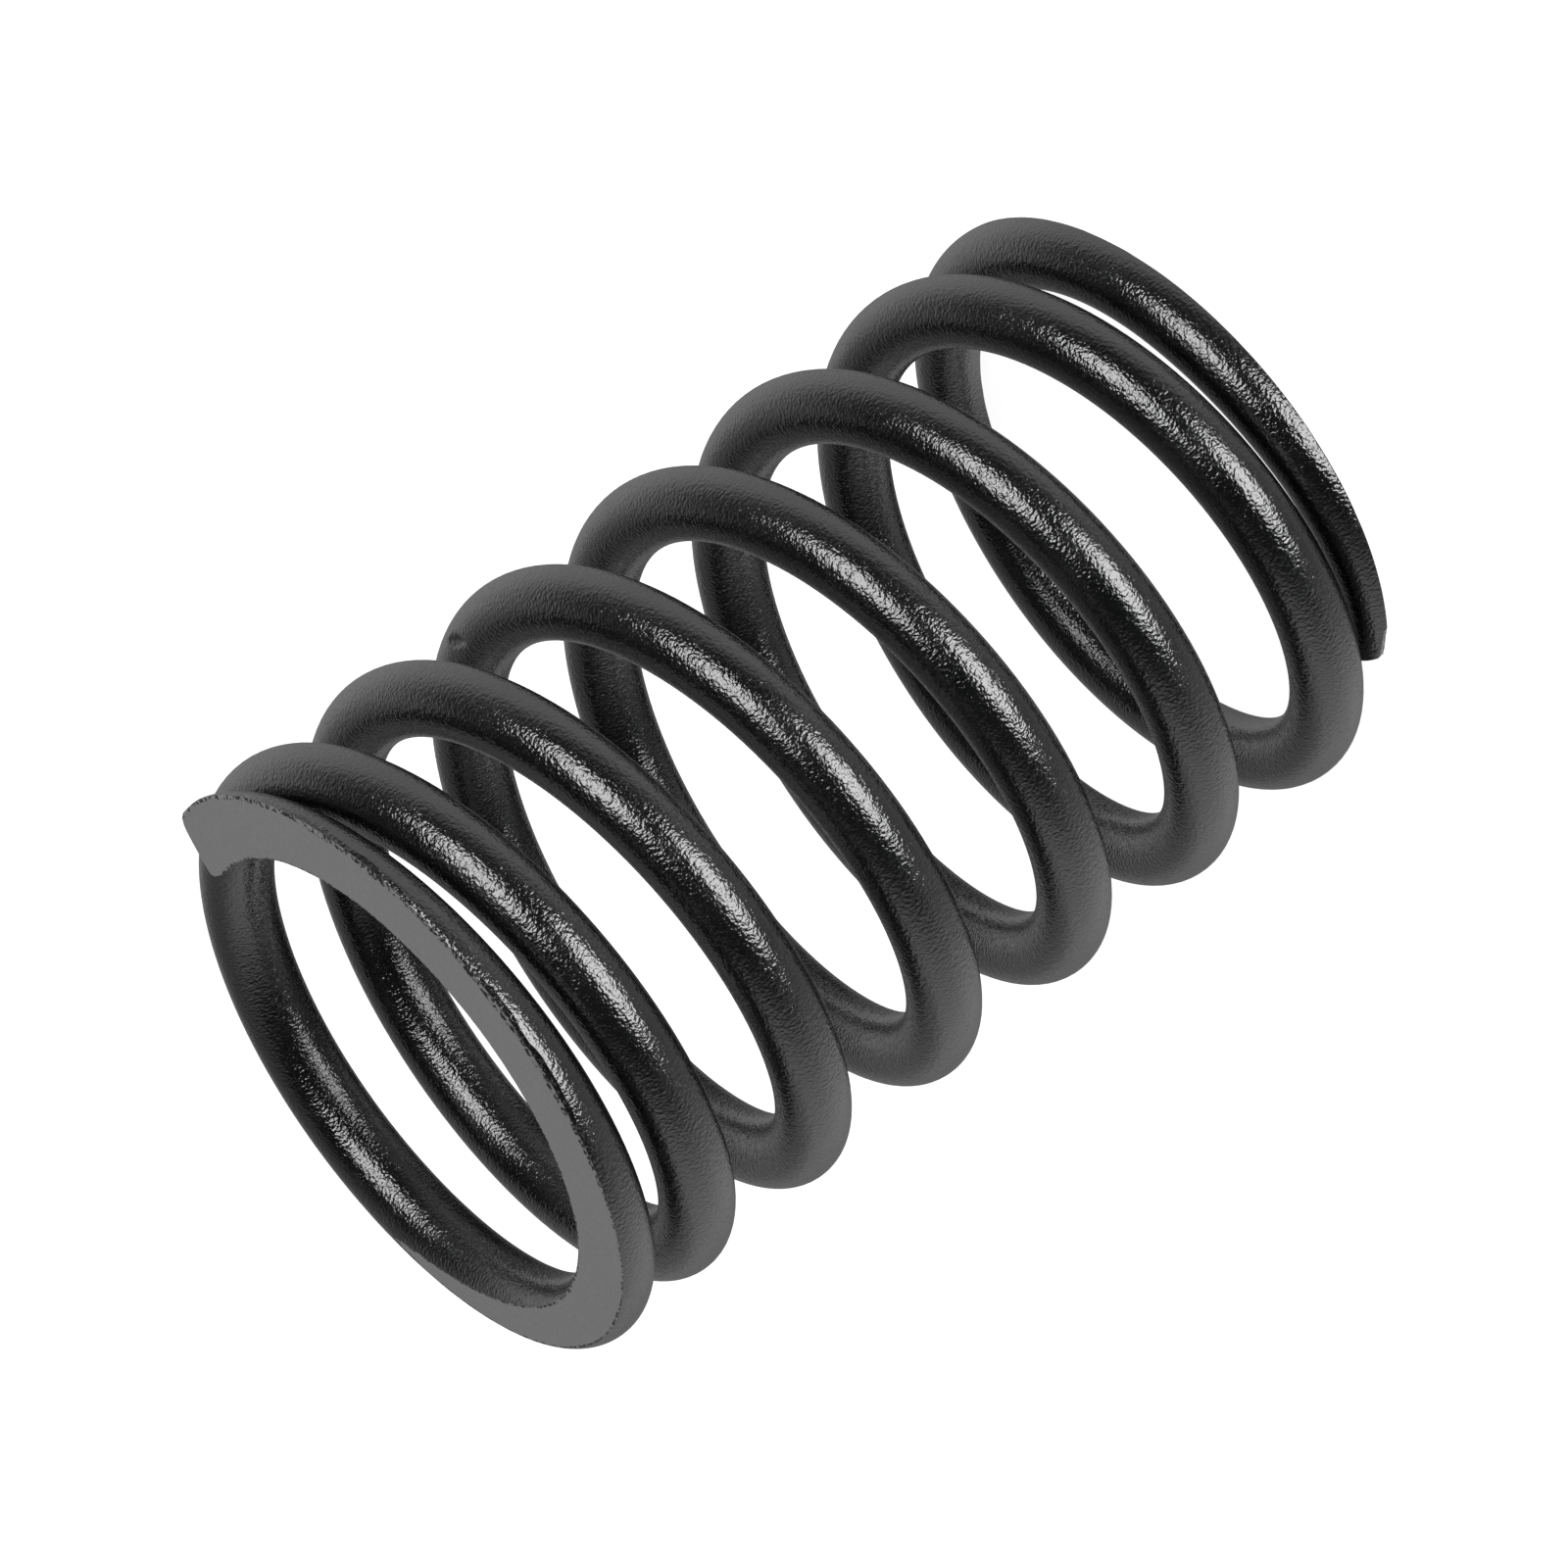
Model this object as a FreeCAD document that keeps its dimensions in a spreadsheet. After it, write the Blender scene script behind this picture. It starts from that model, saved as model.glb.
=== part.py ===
import FreeCAD, Part
import math
import os

# An engine valve spring: one round wire, coiled right-handed, with closed and ground ends.
# Millimetres. The spring stands on +Z: the origin is on its axis, in the plane of the lower ground
# face, and +X points from the axis to the wire's lower tip.

SIZES = {
    "wire_diameter": 4.5,
    "outer_diameter": 40.0,
    "free_length": 63.6,
    # turns of the wire from one cut tip to the other
    "total_turns": 7.444,
    # what grinding leaves of the wire's height at each tip
    "lower_tip_thickness": 0.7,
    "upper_tip_thickness": 1.6,
    # between each tip and the coil that it closes on
    "lower_tip_gap": 0.6,
    "upper_tip_gap": 0.05,
    # the lower end, in turns from its tip: the tip rises steeply up to the first place, the wire then
    # lies nearly flat between the next two, and it opens quickly up to the last one
    "lower_tip_pitch": 10.2,
    "lower_tip_turns": 0.14,
    "lower_flat_pitch": 0.4,
    "lower_flat_start": 0.25,
    "lower_flat_end": 0.54,
    "lower_quick_end": 0.66,
    # how far the upper end is coiled closed before its pitch opens, in turns from the tip
    "upper_closed_turns": 0.77,
    # the close coils above the working ones: their pitch one turn below the upper tip, and the
    # turns over which it opens to the working pitch
    "close_coil_pitch": 7.8,
    "close_coil_turns": 1.9,
}

# pairs of arcs in a turn of the centre line, at least; four keep it within 0.02 mm of the true coil
SPANS_PER_TURN = 4

doc = FreeCAD.newDocument("valve_spring")
sheet = doc.addObject("Spreadsheet::Sheet", "Sizes")
for row, (alias, value) in enumerate(SIZES.items(), start=1):
    sheet.set(f"A{row}", alias)
    sheet.set(f"B{row}", str(value))
    sheet.setAlias(f"B{row}", alias)
doc.recompute()


def size(alias):
    return float(sheet.get(alias))


def end_turn_rise(end):
    """How far the wire rises in the turn at the lower or the upper tip."""
    return size("wire_diameter") + size(f"{end}_tip_gap")


def working_pitch():
    """The pitch of the working coils, which makes up the free length."""
    tips = size("lower_tip_thickness") + size("upper_tip_thickness")
    rise = size("free_length") - tips + size("wire_diameter")
    closed_rise = end_turn_rise("lower") + end_turn_rise("upper")
    # the close coils open evenly, so half of their turns rise at each of their two pitches
    half_close_turns = size("close_coil_turns") / 2
    working_turns = size("total_turns") - 2 - half_close_turns
    return (rise - closed_rise - size("close_coil_pitch") * half_close_turns) / working_turns


def rise_between(stations):
    """How far the wire rises over a row of stations."""
    legs = zip(stations, stations[1:])
    return sum((end - start) * (pitch + next_pitch) / 2 for (start, pitch), (end, next_pitch) in legs)


def lower_stations(opened_pitch):
    """The stations of the turn at the lower tip. Its quick opening makes up the rise of that turn."""
    flat_end = size("lower_flat_end")
    stations = [
        (0, size("lower_tip_pitch")),
        (size("lower_tip_turns"), size("lower_tip_pitch")),
        (size("lower_flat_start"), size("lower_flat_pitch")),
        (flat_end, size("lower_flat_pitch")),
        (size("lower_quick_end"), 0),
        (1, opened_pitch),
    ]
    missing_rise = end_turn_rise("lower") - rise_between(stations)
    stations[4] = (size("lower_quick_end"), 2 * missing_rise / (1 - flat_end))
    return stations


def upper_closed_pitch():
    """The pitch of the closed upper end, which opens evenly up to the close coils."""
    closed_turns = size("upper_closed_turns")
    opening_rise = size("close_coil_pitch") * (1 - closed_turns) / 2
    return 2 * (end_turn_rise("upper") - opening_rise) / (1 + closed_turns)


def pitch_stations():
    """The wire's pitch at places given in turns from the lower tip. It changes evenly between them."""
    turns = size("total_turns")
    pitch = working_pitch()
    upper_pitch = upper_closed_pitch()
    return lower_stations(pitch) + [
        (turns - 1 - size("close_coil_turns"), pitch),
        (turns - 1, size("close_coil_pitch")),
        (turns - size("upper_closed_turns"), upper_pitch),
        (turns, upper_pitch),
    ]


def unrolled_line(stations):
    """The centre line of the wire on its mean cylinder: a quadratic spline in the unrolled surface.

    Each leg of its control polygon has the pitch of one station, and its corners lie halfway between
    stations, so the pitch is exact at every station and changes evenly from one to the next. The
    line's parameter is the number of turns from the lower tip.
    """
    places = [turn for turn, _ in stations]
    halfway = [(one + other) / 2 for one, other in zip(places, places[1:])]
    corners = [places[0]] + halfway + [places[-1]]
    heights = [size("lower_tip_thickness") - size("wire_diameter") / 2]
    for (_, pitch), start, end in zip(stations, corners, corners[1:]):
        heights.append(heights[-1] + pitch * (end - start))
    full_turn = 2 * math.pi
    poles = [FreeCAD.Base.Vector2d(full_turn * turn, height) for turn, height in zip(corners, heights)]
    inner_knots = len(places) - 2
    unrolled = Part.Geom2d.BSplineCurve2d()
    unrolled.buildFromPolesMultsKnots(poles, [3] + [1] * inner_knots + [3], places, False, 2)
    mean_cylinder = Part.Cylinder()
    mean_cylinder.Radius = (size("outer_diameter") - size("wire_diameter")) / 2
    return unrolled.toShape(mean_cylinder)


def tangent_arc(start, heading, end):
    """The arc that leaves start along heading and ends at end."""
    chord = end - start
    cosine = heading * chord / chord.Length
    # the two end tangents meet in a corner, and a weight of the cosine makes the conic a circle
    corner = start + heading * (chord.Length / (2 * cosine))
    middle = (start + corner * (2 * cosine) + end) / (2 + 2 * cosine)
    return Part.Arc(start, middle, end).toShape()


def arc_pair(start, heading, end, end_heading):
    """Two arcs from start to end that have the given headings there and meet smoothly on the way."""
    chord = end - start
    lean = chord * (heading + end_heading)
    spread = 2 * (1 - heading * end_heading)
    reach = (math.sqrt(lean**2 + spread * (chord * chord)) - lean) / spread
    meeting = (start + heading * reach + end - end_heading * reach) / 2
    first = tangent_arc(start, heading, meeting)
    return [first, tangent_arc(meeting, first.tangentAt(first.LastParameter), end)]


def span_ends(stations):
    """The turns where the arc pairs of the centre line meet: every station, and evenly between them."""
    places = [turn for turn, _ in stations]
    ends = places[:1]
    for start, end in zip(places, places[1:]):
        spans = math.ceil((end - start) * SPANS_PER_TURN)
        ends += [start + (end - start) * span / spans for span in range(1, spans + 1)]
    return ends


def coil_line(stations):
    """The wire's centre line as a chain of arcs that touch, so that every stretch of it is a torus."""
    exact = unrolled_line(stations)
    places = [(exact.valueAt(turn), exact.tangentAt(turn)) for turn in span_ends(stations)]
    arcs = []
    for (start, heading), (end, end_heading) in zip(places, places[1:]):
        arcs += arc_pair(start, heading, end, end_heading)
    return Part.Wire(arcs)


line = doc.addObject("Part::Feature", "CoilLine")
line.Shape = coil_line(pitch_stations())

# the wire's round section, square to the coil line at the lower tip
section = doc.addObject("Part::Circle", "WireSection")
section.setExpression("Radius", "Sizes.wire_diameter / 2")
section.AttachmentSupport = [(line, "Edge1")]
section.MapMode = "NormalToEdge"
section.MapPathParameter = 0

coil = doc.addObject("Part::Sweep", "Coil")
coil.Sections = [section]
coil.Spine = (line, [f"Edge{number}" for number in range(1, len(line.Shape.Edges) + 1)])
coil.Solid = True
coil.Frenet = True

# both ends are ground flat: only what lies between the two seat planes is left
between_seats = doc.addObject("Part::Cylinder", "BetweenSeats")
between_seats.setExpression("Radius", "Sizes.outer_diameter")
between_seats.setExpression("Height", "Sizes.free_length")

spring = doc.addObject("Part::Common", "Spring")
spring.Base = coil
spring.Tool = between_seats
spring.Label = "valve_spring"

doc.recompute()

for item in doc.Objects:
    if "Invalid" in item.State or "Error" in item.State:
        raise RuntimeError(f"{item.Label} failed: {item.State}")
if spring.Shape.isNull() or not spring.Shape.isValid():
    raise RuntimeError(f"{spring.Label} has no valid shape")

print(f"working pitch {working_pitch():.3f}, wire length {line.Shape.Length:.1f}")
print(f"volume {spring.Shape.Volume:.1f}")
os.makedirs("parts", exist_ok=True)
spring.Shape.exportStep(f"parts/{spring.Label}.step")
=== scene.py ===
import bpy
import math
import numpy as np
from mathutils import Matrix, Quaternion, Vector


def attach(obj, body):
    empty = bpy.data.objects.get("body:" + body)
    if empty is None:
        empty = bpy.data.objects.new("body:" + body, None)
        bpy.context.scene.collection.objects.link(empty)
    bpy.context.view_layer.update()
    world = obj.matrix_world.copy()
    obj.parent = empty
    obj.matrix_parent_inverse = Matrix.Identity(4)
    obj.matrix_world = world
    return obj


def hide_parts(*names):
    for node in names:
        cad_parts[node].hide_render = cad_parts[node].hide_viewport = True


# A valve spring of round wire, shot peened and black, with both ends ground flat.
# Sizes are in millimetres, angles in degrees and places along the wire in turns from its lower tip,
# unless a comment says otherwise. The spring stands on z = 0 with its axis on +Z.

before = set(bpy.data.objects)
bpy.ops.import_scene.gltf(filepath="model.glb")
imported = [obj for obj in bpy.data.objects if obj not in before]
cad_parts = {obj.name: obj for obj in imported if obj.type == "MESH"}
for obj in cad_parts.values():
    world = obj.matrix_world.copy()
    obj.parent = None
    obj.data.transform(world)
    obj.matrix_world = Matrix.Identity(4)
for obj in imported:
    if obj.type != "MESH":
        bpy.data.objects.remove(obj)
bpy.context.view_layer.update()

MM = 0.001

# The coil, as the CAD part has it

WIRE_RADIUS = 2.25
MEAN_RADIUS = 17.75
FREE_LENGTH = 63.6
TOTAL_TURNS = 7.444
LOWER_TIP_THICKNESS = 0.7
UPPER_TIP_THICKNESS = 1.6
LOWER_TIP_GAP = 0.6
UPPER_TIP_GAP = 0.05
LOWER_TIP_PITCH = 10.2
LOWER_TIP_TURNS = 0.14
LOWER_FLAT_PITCH = 0.4
LOWER_FLAT_START = 0.25
LOWER_FLAT_END = 0.54
LOWER_QUICK_END = 0.66
UPPER_CLOSED_TURNS = 0.77
CLOSE_COIL_PITCH = 7.8
CLOSE_COIL_TURNS = 1.9

TURN_LENGTH = 2 * math.pi * MEAN_RADIUS

# where the coil bends a little inward of a true circle: (middle, turns to each side, depth)
BENDS = ((0, 0.13, 0.06), (7.29, 0.24, 0.22))

# The mesh: rings of points round the wire, closer together on the ground stretches

RING_SPACING = 0.86
GROUND_RING_SPACING = 0.42
# spans of a ring across each of its flat or flattest zones, and down each of its sides
ZONE_SPANS = 14
SIDE_SPANS = 18
# half the angle of a zone where grinding has just begun to touch the wire
NARROWEST_ZONE = 5.0
# over how much wire a zone narrows to that, before the grinding starts
ZONE_NARROWING = 12.0
# how many places along the wire are tried to find where the grinding starts and ends
GROUND_SEARCH_PLACES = 20001
# a point this close to the plane of a ground face lies in it
SEAT_TOLERANCE = 1e-6
# faces that meet at more than this angle meet in a sharp edge
SHARP_ANGLE = 18

# the slots of a ring, anticlockwise from the outer end of its top zone
AROUND = 2 * (ZONE_SPANS + SIDE_SPANS)
TOP = slice(0, ZONE_SPANS + 1)
INNER_SIDE = slice(TOP.stop, TOP.stop + SIDE_SPANS - 1)
BOTTOM = slice(INNER_SIDE.stop, INNER_SIDE.stop + ZONE_SPANS + 1)
OUTER_SIDE = slice(BOTTOM.stop, AROUND)

# A nick in the top of a middle coil: its place along the straightened wire, and its size

NICK_ALONG = 494.6
NICK_ACROSS = 0.72
# how far the nick's length is turned outward from the wire's
NICK_LEAN = 21
NICK_HALF_LENGTH = 1.35
NICK_HALF_WIDTH = 0.5
NICK_DEPTH = 0.24
# the share of the nick, from its middle outward, that is at its full depth
NICK_FLAT_SHARE = 0.35
NICK_UNEVENNESS = 0.05
NICK_RING_SPACING = 0.12
NICK_SEED = 11

# What grinding leaves: edges that are broken unevenly

EDGE_BREAK = 0.09
EDGE_RAGGEDNESS = 0.3
EDGE_CHIP_LENGTH = 0.8
# the widest broken edge, as a share of half the width of its zone
WIDEST_EDGE = 0.3
# over what width beside it an edge shows in the finish
EDGE_REACH = 0.35
# the upper face's outer edge is worn away further near the tip: the wear grows between two turns and
# goes on to the tip, and some extra wear grows with it and ends between two later turns
EDGE_WEAR = 0.14
EDGE_WEAR_GROWS = (7.04, 7.13)
EXTRA_EDGE_WEAR = 0.16
EXTRA_EDGE_WEAR_ENDS = (7.28, 7.38)
# the seeds of the four edges' random breaks, and how many random values come before they repeat
UPPER_OUTER_SEED, UPPER_INNER_SEED, LOWER_INNER_SEED, LOWER_OUTER_SEED = 5, 6, 7, 8
RANDOM_PICKS = 4096

# What cutting leaves: how far a tip reaches past a square cut at the middle of the wire, and for each
# millimetre outward. The upper tip's outer and inner corners curve back from a distance off the
# middle, each at its own rate, and the lower tip's drop back by one depth between two distances.

UPPER_TIP_REACH = 0.05
UPPER_TIP_SKEW = -0.62
UPPER_CORNERS_FROM = 1.3
UPPER_OUTER_CORNER = 0.8
UPPER_INNER_CORNER = 3.4
LOWER_TIP_REACH = -0.24
LOWER_TIP_SKEW = -0.7
LOWER_CORNERS_WITHIN = (1.3, 1.8)
LOWER_CORNER_DEPTH = 2.1
# over how much wire the rings are moved to follow the tip, and in how many rounds
TIP_SHAPING = 12.0
TIP_SHAPING_ROUNDS = 3
# the rings of the cut face, as shares of its outline
CUT_SHRINKS = (0.96, 0.82, 0.6, 0.34, 0.12)
# how unevenly it is torn, and the shares of that between which its points lie back or stand proud
CUT_UNEVENNESS = 0.05
CUT_TEARS = (-1, 0.4)

# The finishes of the wire's faces, as places in its list of materials

COAT, GROUND, CUT = range(3)

# Their patterns are given as (grains in a millimetre, detail). Over a range of a pattern's values it
# goes from the first colour or roughness to the last.

PATTERN_RANGE = (0.3, 0.7)
EDGE_SPECKS = (4.0, 3.0)

COAT_PATCHES = (0.35, 4.0)
COAT_COLOURS = ((0.0012, 0.0012, 0.0013), (0.0035, 0.0035, 0.0036))
COAT_ROUGHNESS = (0.17, 0.21)
COAT_IOR = 1.8
DIMPLES = (4.2, 1.2)
DIMPLE_DEPTH = 0.062
# how many times closer the dimples lie across, above and along the wire
DIMPLE_CROWDING = (1, 1, 1.3)
# the range over which the specks lose their coat
BARE_RANGE = (0.59, 0.66)
BARE_COLOUR = (0.17, 0.17, 0.172)

GROUND_GRAIN = (5.0, 3.0)
GROUND_GRAIN_DEPTH = 0.01
GROUND_COLOURS = ((0.475, 0.475, 0.481), (0.54, 0.54, 0.548))
GROUND_ROUGHNESS = 0.5
GROUND_SPECK_RANGE = (0.44, 0.56)
GROUND_SPECK_COLOUR = (0.06, 0.06, 0.061)

CUT_GRAIN = (6.0, 4.0)
CUT_GRAIN_DEPTH = 0.06
CUT_RANGE = (0.35, 0.65)
CUT_COLOURS = ((0.08, 0.08, 0.082), (0.4, 0.4, 0.405))
CUT_ROUGHNESS = 0.45

# The camera, turned on its side as it was for the photograph

CAMERA_AIM = Vector((0.200, -0.112, 32.228)) * MM
CAMERA_DISTANCE = 438.043 * MM
CAMERA_AZIMUTH = 60.84
CAMERA_ELEVATION = 24.68
CAMERA_ROLL = -127.396
CAMERA_LENS = 167.649
CAMERA_CLIP_START = 10 * MM

# The studio. Its places are angles from the camera, in the camera's own frame: (sideways, upward).

LAMP_DISTANCE = 500 * MM
DARK_SIDE = (-12, -2)
# how much lower than wide the dark side is
DARK_SIDE_FLATNESS = 0.4
# the light that the studio sends, by the angle off its dark side: (angle, share of white)
STUDIO_LIGHT = ((62, 0.02), (85, 0.28), (105, 0.72), (125, 0.82), (150, 0.56), (175, 0.25))
# cards that take the studio's light down or up to a share of it: (where, share)
CARDS = (((-125, -38), 0.35), ((105, 14), 0.5), ((-165, -12), 0.7), ((150, -30), 1.5))
# how far the cards reach: the angle up to which they have their whole effect and where they end
CARD_REACH = (15, 42)
FLOOR_SIZE = 4000 * MM
FLOOR_COLOUR = (0.6, 0.6, 0.6, 1)
# how brightly the floor glows for the camera, besides the light that falls on it
FLOOR_GLOW = 0.92
WHITE = (1, 1, 1, 1)


def smooth_step(value, start, end):
    share = np.clip((value - start) / (end - start), 0, 1)
    return share * share * (3 - 2 * share)


def rises(turns, pitches):
    """How far the wire rises between each pair of neighbouring stations."""
    return np.diff(turns) * (pitches[1:] + pitches[:-1]) / 2


def pitch_stations():
    """The wire's pitch at places along it. It changes evenly between them."""
    lower_rise = 2 * WIRE_RADIUS + LOWER_TIP_GAP
    upper_rise = 2 * WIRE_RADIUS + UPPER_TIP_GAP
    whole_rise = FREE_LENGTH - LOWER_TIP_THICKNESS - UPPER_TIP_THICKNESS + 2 * WIRE_RADIUS
    half_close = CLOSE_COIL_TURNS / 2
    working_rise = whole_rise - lower_rise - upper_rise - CLOSE_COIL_PITCH * half_close
    working = working_rise / (TOTAL_TURNS - 2 - half_close)
    closed = 2 * upper_rise - CLOSE_COIL_PITCH * (1 - UPPER_CLOSED_TURNS)
    closed /= 1 + UPPER_CLOSED_TURNS
    turns, pitches = np.array([
        (0, LOWER_TIP_PITCH),
        (LOWER_TIP_TURNS, LOWER_TIP_PITCH),
        (LOWER_FLAT_START, LOWER_FLAT_PITCH),
        (LOWER_FLAT_END, LOWER_FLAT_PITCH),
        (LOWER_QUICK_END, 0),
        (1, working),
        (TOTAL_TURNS - 1 - CLOSE_COIL_TURNS, working),
        (TOTAL_TURNS - 1, CLOSE_COIL_PITCH),
        (TOTAL_TURNS - UPPER_CLOSED_TURNS, closed),
        (TOTAL_TURNS, closed),
    ]).T
    # the fifth station, where the quick opening ends, makes up the rise of the lowest turn
    missing = lower_rise - rises(turns[:6], pitches[:6]).sum()
    pitches[4] = 2 * missing / (1 - LOWER_FLAT_END)
    return turns, pitches


STATION_TURNS, STATION_PITCHES = pitch_stations()
STATION_HEIGHTS = np.append(0, np.cumsum(rises(STATION_TURNS, STATION_PITCHES)))
STATION_HEIGHTS += LOWER_TIP_THICKNESS - WIRE_RADIUS


def wire_pitch(turn):
    return np.interp(turn, STATION_TURNS, STATION_PITCHES)


def wire_height(turn):
    """The height of the wire's centre. Past the tips the pitch stays as it is there."""
    span = np.searchsorted(STATION_TURNS[1:-1], turn, side="right")
    along = turn - STATION_TURNS[span]
    return STATION_HEIGHTS[span] + along * (STATION_PITCHES[span] + wire_pitch(turn)) / 2


def wire_slope(turn):
    """The cosine of the wire's rise: how upright the section's own up direction is."""
    return 1 / np.hypot(1, wire_pitch(turn) / TURN_LENGTH)


def coil_radius(turn):
    """The radius of the wire's centre line."""
    bends = sum(
        depth * (1 - smooth_step(np.abs(turn - middle), 0, reach)) for middle, reach, depth in BENDS
    )
    return MEAN_RADIUS - bends


def on_wire(turn, across, above):
    """Points at a distance outward from the wire's centre and above it, square to the wire."""
    angle = 2 * math.pi * turn
    slope = wire_slope(turn)
    radius = coil_radius(turn) + across
    lean = above * slope * wire_pitch(turn) / TURN_LENGTH
    return np.stack([
        radius * np.cos(angle) + lean * np.sin(angle),
        radius * np.sin(angle) - lean * np.cos(angle),
        wire_height(turn) + above * slope,
    ], axis=-1)


def on_straight_wire(turn, across, above):
    """Where the same points lie when the wire is pulled straight."""
    return np.stack([across, above, turn * TURN_LENGTH], axis=-1)


def seat_distances(turn):
    """How far above and below the wire's centre the two ground planes cut its section."""
    height = wire_height(turn)
    slope = wire_slope(turn)
    return (FREE_LENGTH - height) / slope, height / slope


def flat_half_angle(seat_distance):
    """Half the angle of the flat that a ground plane cuts off the round wire."""
    return np.arccos(np.clip(seat_distance / WIRE_RADIUS, -1, 1))


def ground_ends():
    """The turns at which the lower ground face ends and the upper one starts."""
    turns = np.linspace(0, TOTAL_TURNS, GROUND_SEARCH_PLACES)
    above, below = seat_distances(turns)
    return turns[below < WIRE_RADIUS].max(), turns[above < WIRE_RADIUS].min()


LOWER_GROUND_END, UPPER_GROUND_START = ground_ends()


def ring_turns():
    """Where the rings stand along the wire: closer together where it is ground and at the nick."""
    turns = []
    for start, end, spacing in (
        (0, LOWER_GROUND_END, GROUND_RING_SPACING),
        (LOWER_GROUND_END, UPPER_GROUND_START, RING_SPACING),
        (UPPER_GROUND_START, TOTAL_TURNS, GROUND_RING_SPACING),
    ):
        spans = math.ceil((end - start) * TURN_LENGTH / spacing)
        turns.append(np.linspace(start, end, spans, endpoint=False))
    turns = np.append(np.concatenate(turns), TOTAL_TURNS)

    nick_spans = math.ceil(2 * NICK_HALF_LENGTH / NICK_RING_SPACING)
    nick = NICK_ALONG + np.linspace(-NICK_HALF_LENGTH, NICK_HALF_LENGTH, nick_spans + 1)
    off_nick = np.abs(turns * TURN_LENGTH - NICK_ALONG) > NICK_HALF_LENGTH + NICK_RING_SPACING
    return np.sort(np.append(turns[off_nick], nick / TURN_LENGTH))


def wander(turn, wavelength, seed):
    """Smooth random values from -1 to 1 along the wire, which change over about a wavelength."""
    picks = np.random.default_rng(seed).uniform(-1, 1, RANDOM_PICKS)
    place = turn * TURN_LENGTH / wavelength
    first = np.floor(place).astype(int)
    share = smooth_step(place - first, 0, 1)
    return picks[first % RANDOM_PICKS] * (1 - share) + picks[(first + 1) % RANDOM_PICKS] * share


def zone_half_angle(seat_distance, away):
    """Half the angle that a zone's points take up, at a distance along the wire from the grinding."""
    even = math.pi * ZONE_SPANS / AROUND
    narrow = math.radians(NARROWEST_ZONE)
    spread = np.clip(away / ZONE_NARROWING, 0, 1)
    return np.maximum(flat_half_angle(seat_distance), narrow + (even - narrow) * spread)


def edge_wear(turn):
    """How much further than the others the upper face's outer edge is worn away."""
    extra_wear = EXTRA_EDGE_WEAR * (1 - smooth_step(turn, *EXTRA_EDGE_WEAR_ENDS))
    return (EDGE_WEAR + extra_wear) * smooth_step(turn, *EDGE_WEAR_GROWS)


def broken_edge(turn, half_angle, wear, seed):
    """How wide the broken edge of a zone is."""
    chips = 1 + EDGE_RAGGEDNESS * wander(turn, EDGE_CHIP_LENGTH, seed)
    return np.minimum((EDGE_BREAK + wear) * chips, WIRE_RADIUS * np.sin(half_angle) * WIDEST_EDGE)


def sections(turn):
    """(across, above) of the points of each ring."""
    above_seat, below_seat = seat_distances(turn)
    upper = zone_half_angle(above_seat, (UPPER_GROUND_START - turn) * TURN_LENGTH)
    lower = zone_half_angle(below_seat, (turn - LOWER_GROUND_END) * TURN_LENGTH)
    upper_outer = broken_edge(turn, upper, edge_wear(turn), UPPER_OUTER_SEED)
    upper_inner = broken_edge(turn, upper, 0, UPPER_INNER_SEED)
    lower_inner = broken_edge(turn, lower, 0, LOWER_INNER_SEED)
    lower_outer = broken_edge(turn, lower, 0, LOWER_OUTER_SEED)

    across = np.empty_like(turn)
    above = np.empty_like(turn)
    # a zone's two corners stand at its full half width, and its other points between the broken edges
    between_edges = np.linspace(1, -1, ZONE_SPANS - 1)
    half_width_shares = np.concatenate([[1], between_edges, [-1]])
    for zone, seat, half_angle, outer_edge, inner_edge, up in (
        (TOP, above_seat, upper, upper_outer, upper_inner, 1),
        (BOTTOM, below_seat, lower, lower_outer, lower_inner, -1),
    ):
        shares = up * half_width_shares
        edge = np.where(shares > 0, outer_edge[:, zone], inner_edge[:, zone])
        edge[:, [0, -1]] = 0
        across[:, zone] = (WIRE_RADIUS * np.sin(half_angle[:, zone]) - edge) * shares
        on_circle = np.sqrt(np.maximum(WIRE_RADIUS**2 - across[:, zone] ** 2, 0))
        above[:, zone] = up * np.minimum(seat[:, zone], on_circle)
    quarter = math.pi / 2
    for side, start, end, start_edge, end_edge in (
        (INNER_SIDE, quarter + upper, 3 * quarter - lower, upper_inner, lower_inner),
        (OUTER_SIDE, 3 * quarter + lower, 5 * quarter - upper, lower_outer, upper_outer),
    ):
        first = start[:, side] + start_edge[:, side] / WIRE_RADIUS
        last = end[:, side] - end_edge[:, side] / WIRE_RADIUS
        angle = first + (last - first) * np.linspace(0, 1, SIDE_SPANS - 1)
        across[:, side] = WIRE_RADIUS * np.cos(angle)
        above[:, side] = WIRE_RADIUS * np.sin(angle)
    return across, above


def tip_shift(turn, across):
    """How far along the wire, in turns, the shape of the two cut tips moves a point."""
    upper_reach = UPPER_TIP_REACH + UPPER_TIP_SKEW * across
    upper_corner = np.where(across > 0, UPPER_OUTER_CORNER, UPPER_INNER_CORNER)
    upper_reach -= upper_corner * np.maximum(np.abs(across) - UPPER_CORNERS_FROM, 0) ** 2
    upper_share = np.clip(1 - (TOTAL_TURNS - turn) * TURN_LENGTH / TIP_SHAPING, 0, 1) ** 2
    lower_reach = LOWER_TIP_REACH + LOWER_TIP_SKEW * across
    lower_reach -= LOWER_CORNER_DEPTH * smooth_step(np.abs(across), *LOWER_CORNERS_WITHIN)
    lower_share = np.clip(1 - turn * TURN_LENGTH / TIP_SHAPING, 0, 1) ** 2
    return (upper_share * upper_reach - lower_share * lower_reach) / TURN_LENGTH


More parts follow.
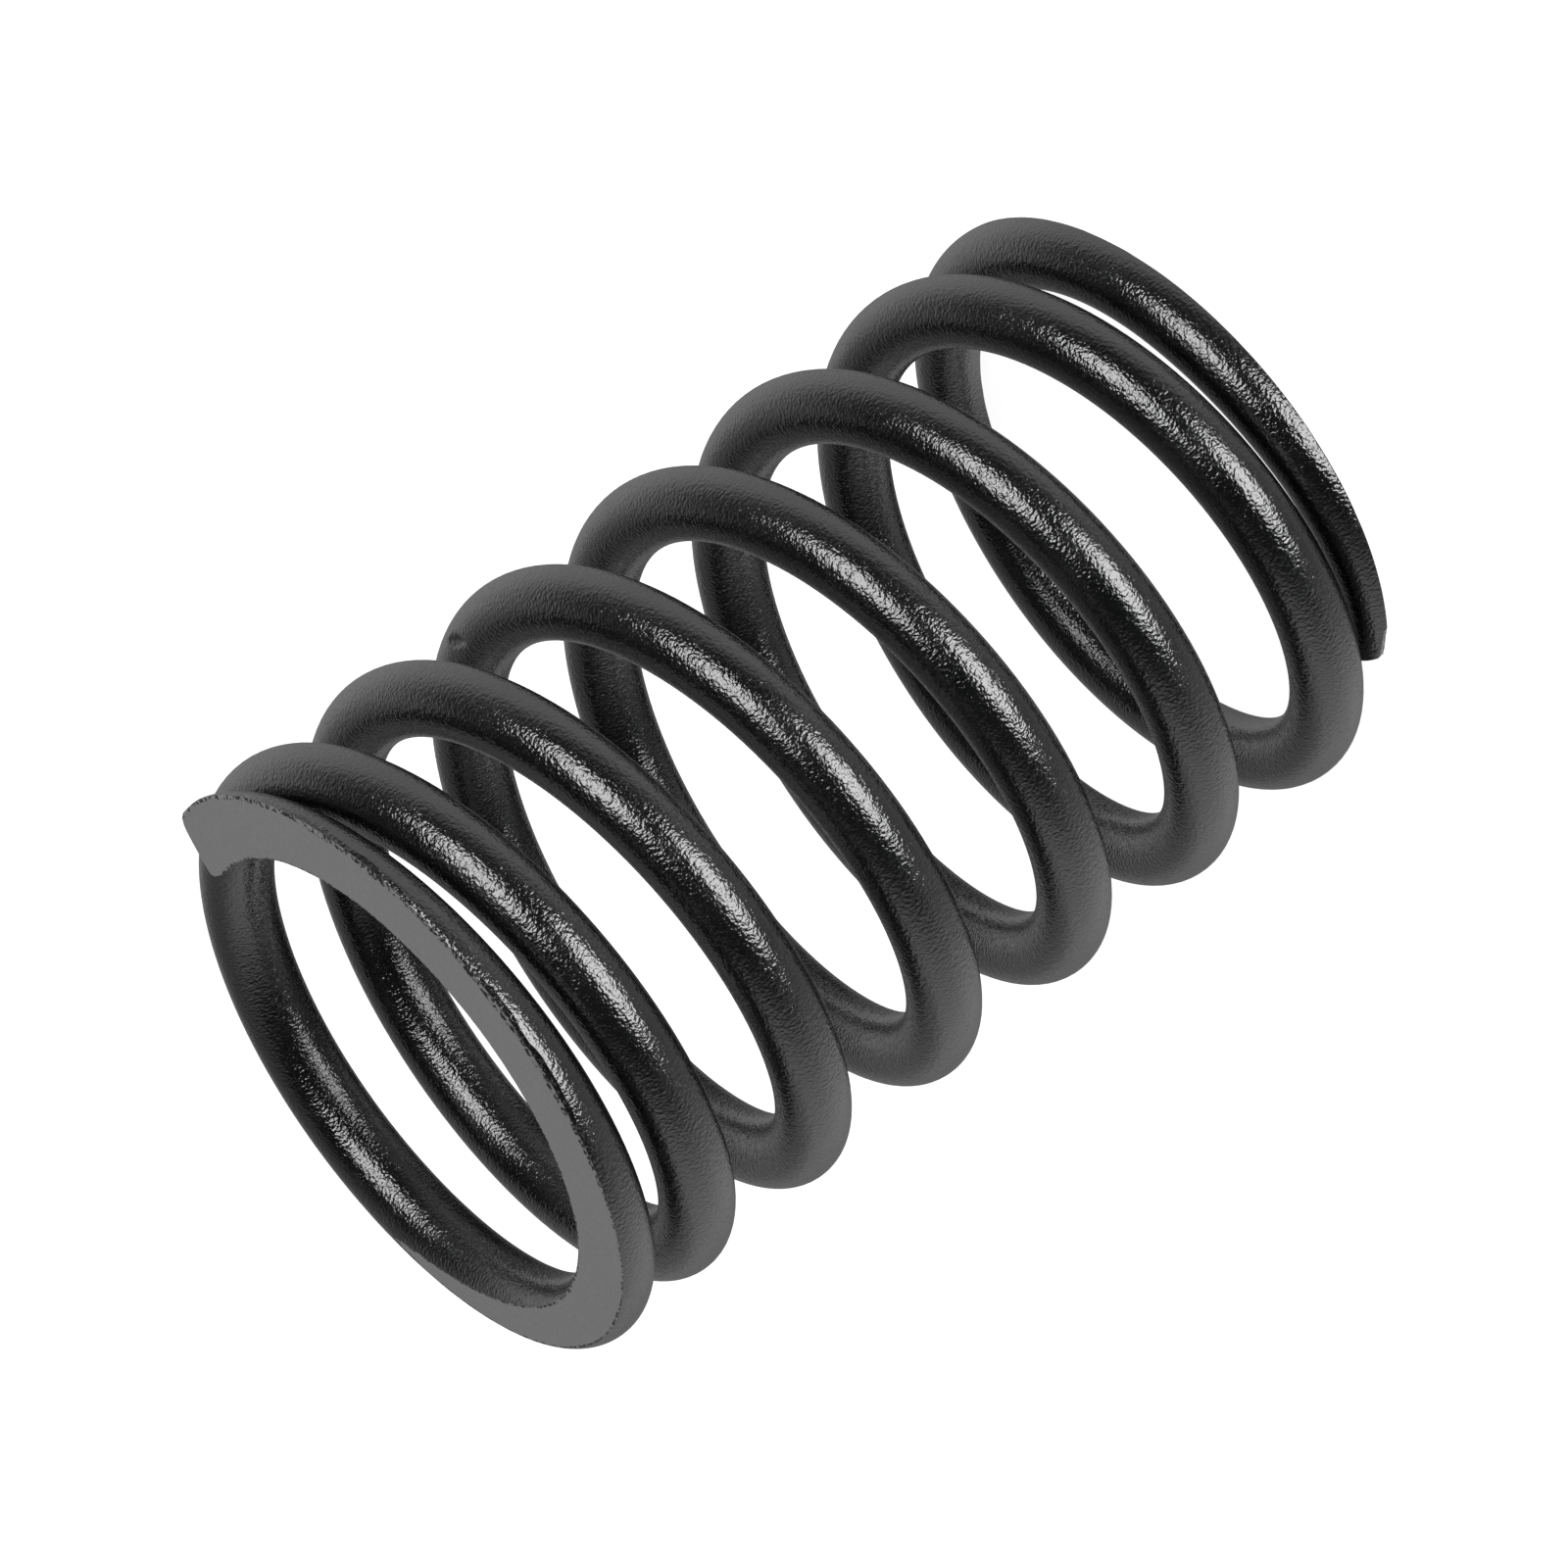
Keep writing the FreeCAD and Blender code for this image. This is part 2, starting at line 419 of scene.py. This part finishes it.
def shaped_rings(plain_turn):
    """(turn, across, above, whether it lies in a ground face) of the points of each ring."""
    turn = plain_turn
    across, above = sections(turn)
    # the tips' shapes move points along the wire, where the grinding cuts it a little differently
    for _ in range(TIP_SHAPING_ROUNDS):
        turn = plain_turn + tip_shift(plain_turn, across)
        across, above = sections(turn)

    above_seat, below_seat = seat_distances(turn)
    on_upper = np.abs(above_seat - above) < SEAT_TOLERANCE
    on_lower = np.abs(below_seat + above) < SEAT_TOLERANCE
    # the corners of the zones are blunted towards their neighbours
    for corner in (TOP.start, TOP.stop - 1, BOTTOM.start, BOTTOM.stop - 1):
        for values in (across, above):
            neighbours = values[:, corner - 1] + values[:, (corner + 1) % AROUND]
            values[:, corner] = values[:, corner] / 2 + neighbours / 4
    return turn, across, above, on_upper | on_lower


def cut_rings(tip_turn, across, above, outward, seed):
    """(turn, across, above) of rings that shrink over a slightly torn cut face.

    outward is 1 for the upper tip and -1 for the lower one.
    """
    middle_across, middle_above = across.mean(), above.mean()
    random = np.random.default_rng(seed)
    for shrink in CUT_SHRINKS:
        inner_across = middle_across + (across - middle_across) * shrink
        inner_above = middle_above + (above - middle_above) * shrink
        torn = CUT_UNEVENNESS * random.uniform(*CUT_TEARS, len(across))
        turn = tip_turn + tip_shift(tip_turn, inner_across) + outward * torn / TURN_LENGTH
        above_seat, below_seat = seat_distances(turn)
        yield turn, inner_across, np.clip(inner_above, -below_seat, above_seat)


def edge_closeness(across, above, on_seat):
    """How close each point of a ring is to a broken edge of the grinding: 1 on it, 0 at EDGE_REACH."""
    nearest = np.full(across.shape, EDGE_REACH)
    for zone in (TOP, BOTTOM):
        ground = on_seat[:, zone].any(axis=1, keepdims=True)
        for corner in (zone.start, zone.stop - 1):
            for slot in (corner - 1, corner, (corner + 1) % AROUND):
                away = np.hypot(across - across[:, [slot]], above - above[:, [slot]])
                nearest = np.where(ground, np.minimum(nearest, away), nearest)
    return 1 - nearest / EDGE_REACH


def nick_depth(turn, across, above):
    """How deep the nick is at each point."""
    along = turn * TURN_LENGTH - NICK_ALONG
    outward = across - NICK_ACROSS
    lean = math.radians(NICK_LEAN)
    lengthwise = (along * math.cos(lean) + outward * math.sin(lean)) / NICK_HALF_LENGTH
    sideways = (outward * math.cos(lean) - along * math.sin(lean)) / NICK_HALF_WIDTH
    share = 1 - smooth_step(np.hypot(lengthwise, sideways), NICK_FLAT_SHARE, 1)
    torn = np.random.default_rng(NICK_SEED).uniform(-1, 1, across.shape)
    return np.where(above > 0, share, 0) * (NICK_DEPTH + NICK_UNEVENNESS * torn)


def quads_between(first, second):
    """The corners of the faces between two closed rows of points."""
    return np.stack([first, np.roll(first, -1), np.roll(second, -1), second], axis=-1)


def add_attribute(mesh, name, kind, field, values):
    """A value that the mesh keeps at each point for its materials."""
    attribute = mesh.attributes.new(name, kind, "POINT")
    attribute.data.foreach_set(field, values.reshape(-1))


def wire_mesh(name):
    """The swept wire and its two cut faces."""
    plain_turn = np.repeat(ring_turns()[:, None], AROUND, axis=1)
    turn, across, above, on_seat = shaped_rings(plain_turn)
    kept = 1 - nick_depth(turn, across, above) / WIRE_RADIUS
    points = [on_wire(turn, across * kept, above * kept).reshape(-1, 3)]
    straightened = [on_straight_wire(turn, across, above).reshape(-1, 3)]
    closeness = [edge_closeness(across, above, on_seat).reshape(-1)]

    rings = np.arange(turn.size).reshape(turn.shape)
    quads = [quads_between(first, second) for first, second in zip(rings, rings[1:])]
    grounds = on_seat & np.roll(on_seat, -1, axis=1)
    finishes = [np.where(first & second, GROUND, COAT) for first, second in zip(grounds, grounds[1:])]

    # the two cut faces: rings that shrink, and a many-sided face in the middle
    middles = []
    count = turn.size
    for tip, outward in ((0, -1), (len(rings) - 1, 1)):
        rim = rings[tip]
        for cut_ring in cut_rings(plain_turn[tip], across[tip], above[tip], outward, seed=tip):
            points.append(on_wire(*cut_ring))
            straightened.append(on_straight_wire(*cut_ring))
            closeness.append(np.zeros(AROUND))
            new_rim = np.arange(count, count + AROUND)
            quads.append(quads_between(rim, new_rim) if outward > 0 else quads_between(new_rim, rim))
            finishes.append(np.full(AROUND, CUT))
            rim = new_rim
            count += AROUND
        middles.append((rim if outward > 0 else rim[::-1]).tolist())
    finishes.append([CUT] * len(middles))

    mesh = bpy.data.meshes.new(name)
    faces = np.concatenate(quads).tolist() + middles
    mesh.from_pydata((np.concatenate(points) * MM).tolist(), [], faces)
    add_attribute(mesh, "straightened", "FLOAT_VECTOR", "vector", np.concatenate(straightened))
    add_attribute(mesh, "ground_edge", "FLOAT", "value", np.concatenate(closeness))
    mesh.polygons.foreach_set("material_index", np.concatenate(finishes).astype(int))
    mesh.polygons.foreach_set("use_smooth", [True] * len(mesh.polygons))
    mesh.set_sharp_from_angle(angle=math.radians(SHARP_ANGLE))
    mesh.validate()
    return mesh


wire = bpy.data.objects.new("valve_spring_wire", wire_mesh("valve_spring_wire"))
bpy.context.scene.collection.objects.link(wire)

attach(wire, "root")
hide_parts("valve_spring")


def add_node(tree, kind, inputs=None, **settings):
    """A new node with these settings. An input is a value or the socket that feeds it."""
    node = tree.nodes.new(kind)
    for name, value in settings.items():
        setattr(node, name, value)
    feed(tree, node, inputs or {})
    return node


def feed(tree, node, inputs):
    for name, value in inputs.items():
        if isinstance(value, bpy.types.NodeSocket):
            tree.links.new(value, node.inputs[name])
        else:
            node.inputs[name].default_value = value


def calculate(tree, operation, first, second):
    """A number worked out from two others."""
    node = add_node(tree, "ShaderNodeMath", {0: first, 1: second}, operation=operation)
    return node.outputs["Value"]


def component(tree, vector, way):
    """How far a vector reaches in a direction."""
    node = add_node(tree, "ShaderNodeVectorMath", {0: vector, 1: way}, operation="DOT_PRODUCT")
    return node.outputs["Value"]


def stretch(tree, value, limits, results):
    """A value stretched from the range between two limits to the range between two results."""
    inputs = {"Value": value}
    inputs["From Min"], inputs["From Max"] = limits
    inputs["To Min"], inputs["To Max"] = results
    return add_node(tree, "ShaderNodeMapRange", inputs).outputs["Result"]


def noise(tree, place, pattern):
    scale, detail = pattern
    inputs = {"Vector": place, "Scale": scale, "Detail": detail}
    return add_node(tree, "ShaderNodeTexNoise", inputs).outputs["Fac"]


def tint(tree, value, limits, colours):
    """A colour that goes evenly from the first to the last between two limits of a value."""
    node = add_node(tree, "ShaderNodeValToRGB", {"Fac": value})
    for element, position, colour in zip(node.color_ramp.elements, limits, colours):
        element.position = position
        element.color = (*colour, 1)
    return node.outputs["Color"]


# the sockets that a Mix node has for colours. Those for numbers and vectors share their names.
MIX_FIRST, MIX_LAST, MIX_RESULT = 6, 7, 2


def mixed(tree, share, first, last):
    """A colour between one that comes from a socket and a plain one."""
    inputs = {"Factor": share, MIX_FIRST: first, MIX_LAST: (*last, 1)}
    return add_node(tree, "ShaderNodeMix", inputs, data_type="RGBA").outputs[MIX_RESULT]


def bump(tree, height, distance):
    inputs = {"Height": height, "Distance": distance * MM, "Strength": 1.0}
    return add_node(tree, "ShaderNodeBump", inputs).outputs["Normal"]


def new_material(name):
    """(material, its node tree, the coordinates along the straightened wire in millimetres)"""
    material = bpy.data.materials.new(name)
    material.use_nodes = True
    tree = material.node_tree
    place = add_node(tree, "ShaderNodeAttribute", attribute_name="straightened")
    return material, tree, place.outputs["Vector"]


def edge_specks(tree, place, limits):
    """Specks beside the ground edges, more of them the closer they are: 0 to 1."""
    edge = add_node(tree, "ShaderNodeAttribute", attribute_name="ground_edge").outputs["Fac"]
    specks = calculate(tree, "MULTIPLY", noise(tree, place, EDGE_SPECKS), edge)
    return stretch(tree, specks, limits, (0, 1))


def coat_material():
    """The peened black coat, which has come off in specks beside the ground edges."""
    material, tree, place = new_material("black_coat")
    crowding = {0: place, 1: DIMPLE_CROWDING}
    crowded = add_node(tree, "ShaderNodeVectorMath", crowding, operation="MULTIPLY")
    dimples = noise(tree, crowded.outputs["Vector"], DIMPLES)
    patches = noise(tree, place, COAT_PATCHES)
    colour = tint(tree, patches, PATTERN_RANGE, COAT_COLOURS)
    bare = edge_specks(tree, place, BARE_RANGE)
    feed(tree, tree.nodes["Principled BSDF"], {
        "Base Color": mixed(tree, bare, colour, BARE_COLOUR),
        "Metallic": bare,
        "Roughness": stretch(tree, patches, PATTERN_RANGE, COAT_ROUGHNESS),
        "IOR": COAT_IOR,
        "Normal": bump(tree, dimples, DIMPLE_DEPTH),
    })
    return material


def ground_material():
    """Ground steel, matt and even."""
    material, tree, place = new_material("ground_steel")
    grain = noise(tree, place, GROUND_GRAIN)
    steel = tint(tree, grain, PATTERN_RANGE, GROUND_COLOURS)
    specks = edge_specks(tree, place, GROUND_SPECK_RANGE)
    feed(tree, tree.nodes["Principled BSDF"], {
        "Base Color": mixed(tree, specks, steel, GROUND_SPECK_COLOUR),
        "Metallic": 1.0,
        "Roughness": GROUND_ROUGHNESS,
        "Normal": bump(tree, grain, GROUND_GRAIN_DEPTH),
    })
    return material


def cut_material():
    """The torn face that the shears leave."""
    material, tree, place = new_material("sheared_steel")
    grain = noise(tree, place, CUT_GRAIN)
    feed(tree, tree.nodes["Principled BSDF"], {
        "Base Color": tint(tree, grain, CUT_RANGE, CUT_COLOURS),
        "Metallic": 1.0,
        "Roughness": CUT_ROUGHNESS,
        "Normal": bump(tree, grain, CUT_GRAIN_DEPTH),
    })
    return material


# in the order of COAT, GROUND and CUT
for material in (coat_material(), ground_material(), cut_material()):
    wire.data.materials.append(material)

camera_data = bpy.data.cameras.new("camera")
camera_data.lens = CAMERA_LENS
camera_data.clip_start = CAMERA_CLIP_START
camera = bpy.data.objects.new("camera", camera_data)
azimuth, elevation = math.radians(CAMERA_AZIMUTH), math.radians(CAMERA_ELEVATION)
towards_camera = Vector((
    math.cos(elevation) * math.cos(azimuth),
    math.cos(elevation) * math.sin(azimuth),
    math.sin(elevation),
))
camera.location = CAMERA_AIM + towards_camera * CAMERA_DISTANCE
camera.rotation_mode = "QUATERNION"
upright = towards_camera.to_track_quat("Z", "Y")
camera.rotation_quaternion = upright @ Quaternion((0, 0, 1), math.radians(CAMERA_ROLL))
bpy.context.scene.collection.objects.link(camera)
bpy.context.scene.camera = camera


def off_camera(sideways, upward):
    """The rotation that looks along -Z from a place at these angles from the camera."""
    turned = Quaternion((0, 1, 0), math.radians(sideways))
    raised = Quaternion((1, 0, 0), -math.radians(upward))
    return camera.rotation_quaternion @ (turned @ raised)


def softbox(name, sideways, upward, width, height, radiance):
    """A soft light that faces the spring and looks this wide and high from it."""
    light = bpy.data.lights.new(name, "AREA")
    light.shape = "RECTANGLE"
    light.size = 2 * LAMP_DISTANCE * math.tan(math.radians(width / 2))
    light.size_y = 2 * LAMP_DISTANCE * math.tan(math.radians(height / 2))
    light.energy = radiance * math.pi * light.size * light.size_y
    lamp = bpy.data.objects.new(name, light)
    lamp.rotation_mode = "QUATERNION"
    lamp.rotation_quaternion = off_camera(sideways, upward)
    lamp.location = CAMERA_AIM + lamp.rotation_quaternion @ Vector((0, 0, LAMP_DISTANCE))
    lamp.visible_camera = False
    bpy.context.scene.collection.objects.link(lamp)


softbox("left_softbox", sideways=-34, upward=7.5, width=28, height=37, radiance=7.2)
softbox("right_softbox", sideways=38.5, upward=8, width=34, height=37, radiance=7.9)


def studio_greys(tree, way):
    """The studio's light from each way: hardly any on its dark side, and more away from it."""
    dark_side = off_camera(*DARK_SIDE)
    facing = component(tree, way, dark_side @ Vector((0, 0, 1)))
    rise = component(tree, way, dark_side @ Vector((0, 1, 0)) * math.sqrt(DARK_SIDE_FLATNESS))
    facing = calculate(tree, "SUBTRACT", facing, calculate(tree, "MULTIPLY", rise, rise))
    greys = add_node(tree, "ShaderNodeValToRGB", {"Fac": stretch(tree, facing, (1, -1), (0, 1))})
    greys.color_ramp.interpolation = "EASE"
    while len(greys.color_ramp.elements) < len(STUDIO_LIGHT):
        greys.color_ramp.elements.new(0.5)
    for element, (angle, light) in zip(greys.color_ramp.elements, STUDIO_LIGHT):
        element.position = (1 - math.cos(math.radians(angle))) / 2
        element.color = (light, light, light, 1)
    return greys.outputs["Color"]


def share_of_cards(tree, way):
    """What the cards make of the studio's light from each way, as a share of it."""
    whole_effect, end = (math.cos(math.radians(angle)) for angle in CARD_REACH)
    share_so_far = 1.0
    for place, share in CARDS:
        facing = component(tree, way, off_camera(*place) @ Vector((0, 0, 1)))
        card_share = stretch(tree, facing, (end, whole_effect), (1, share))
        share_so_far = calculate(tree, "MULTIPLY", share_so_far, card_share)
    return share_so_far


def studio_world():
    """It looks white to the camera. The spring reflects it grey, and dark round the camera."""
    world = bpy.data.worlds.new("studio")
    world.use_nodes = True
    tree = world.node_tree
    tree.nodes.clear()
    way = add_node(tree, "ShaderNodeTexCoord").outputs["Generated"]
    light = {"Color": studio_greys(tree, way), "Strength": share_of_cards(tree, way)}
    studio = add_node(tree, "ShaderNodeBackground", light)
    white = add_node(tree, "ShaderNodeBackground", {"Color": WHITE})
    seen = add_node(tree, "ShaderNodeLightPath").outputs["Is Camera Ray"]
    parts = {"Fac": seen, 1: studio.outputs["Background"], 2: white.outputs["Background"]}
    either = add_node(tree, "ShaderNodeMixShader", parts)
    add_node(tree, "ShaderNodeOutputWorld", {"Surface": either.outputs["Shader"]})
    return world


bpy.context.scene.world = studio_world()


def paper_material():
    """White paper, which glows for the camera alone, up to white."""
    material = bpy.data.materials.new("white_floor")
    material.use_nodes = True
    tree = material.node_tree
    seen = add_node(tree, "ShaderNodeLightPath").outputs["Is Camera Ray"]
    feed(tree, tree.nodes["Principled BSDF"], {
        "Base Color": FLOOR_COLOUR,
        "Roughness": 1.0,
        "Specular IOR Level": 0.0,
        "Emission Color": WHITE,
        "Emission Strength": calculate(tree, "MULTIPLY", seen, FLOOR_GLOW),
    })
    return material


# The photographed spring lies on its side, so the softboxes, which stand round the camera as they did
# then, reach below the floor: it lets their light through.
bpy.ops.mesh.primitive_plane_add(size=FLOOR_SIZE)
floor = bpy.context.object
floor.name = "floor"
floor.visible_shadow = False
floor.visible_glossy = False
floor.data.materials.append(paper_material())

bpy.context.scene.view_settings.view_transform = "Standard"
